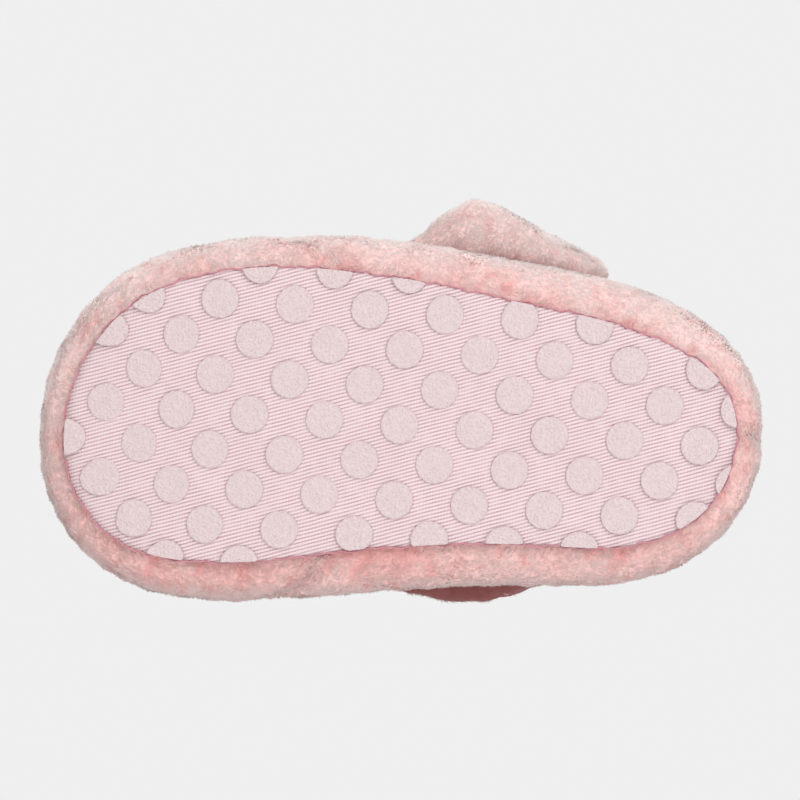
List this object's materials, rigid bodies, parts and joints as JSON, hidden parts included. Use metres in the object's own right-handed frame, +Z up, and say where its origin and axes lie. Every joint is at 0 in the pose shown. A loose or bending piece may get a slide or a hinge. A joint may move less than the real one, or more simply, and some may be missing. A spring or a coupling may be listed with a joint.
{
  "type": "baby bootie",
  "caption": "Soft plush baby bootie for the left foot, with a wrap strap over the instep and a fabric sole with raised grip dots.",
  "frame": {"origin": "middle of the bottom face of the centre grip dot, on the floor, near the middle of the sole", "axes": "+X towards the toe, +Y towards the outer (lateral) side of the left foot, +Z up, away from the floor"},
  "size_m": [0.1222, 0.0698, 0.0824],
  "materials": {
    "sole_fabric": "ribbed woven cotton, pale pink",
    "grip_rubber": "raised printed rubber dots, matte with a fine pebbled skin",
    "foam": "soft foam sheet",
    "plush": "short pink plush fleece",
    "insole_plush": "pink brushed fleece",
    "lining": "pink brushed jersey",
    "wadding": "off-white polyester wadding",
    "binding": "rolled plush binding",
    "seam_tape": "narrow twill tape",
    "thread": "polyester sewing thread",
    "loop_pile": "loop side of hook and loop tape",
    "hook_pile": "hook side of hook and loop tape"
  },
  "bodies": {
    "upper": {"outsole_fabric": "sole_fabric", "grip_dots": "grip_rubber", "midsole_foam": "foam", "insole": "insole_plush", "sole_seam_thread": "thread", "vamp": "plush", "quarter_lateral": "plush", "quarter_medial": "plush", "vamp_wadding": "wadding", "quarter_wadding": "wadding", "vamp_lining": "lining", "quarter_lining": "lining", "heel_seam_tape": "seam_tape", "collar_binding": "binding", "loop_tape": "loop_pile", "loop_tape_stitches": "thread", "strap_root": "plush", "strap_root_stitches": "thread"},
    "strap": {"strap_face": "plush", "strap_core": "wadding", "strap_lining": "lining", "hook_tape": "hook_pile", "hook_tape_stitches": "thread"},
    "tongue": {"tongue_face": "plush", "tongue_lining": "lining"}
  },
  "joints": [
    {"name": "strap_turn", "type": "hinge", "parent": "upper", "child": "strap", "pos_m": [-0.01195, -0.02914, 0.04465], "axis": [0.5359, -0.1383, -0.8329], "range_deg": [0, 100]},
    {"name": "tongue_tilt", "type": "hinge", "parent": "upper", "child": "tongue", "pos_m": [0.02631, 0.00034, 0.04068], "axis": [0, 1, 0], "range_deg": [0, 30]}
  ],
  "couplings": [
    {"joint": "tongue_tilt", "follows": "strap_turn", "ratio": 0.3}
  ]
}
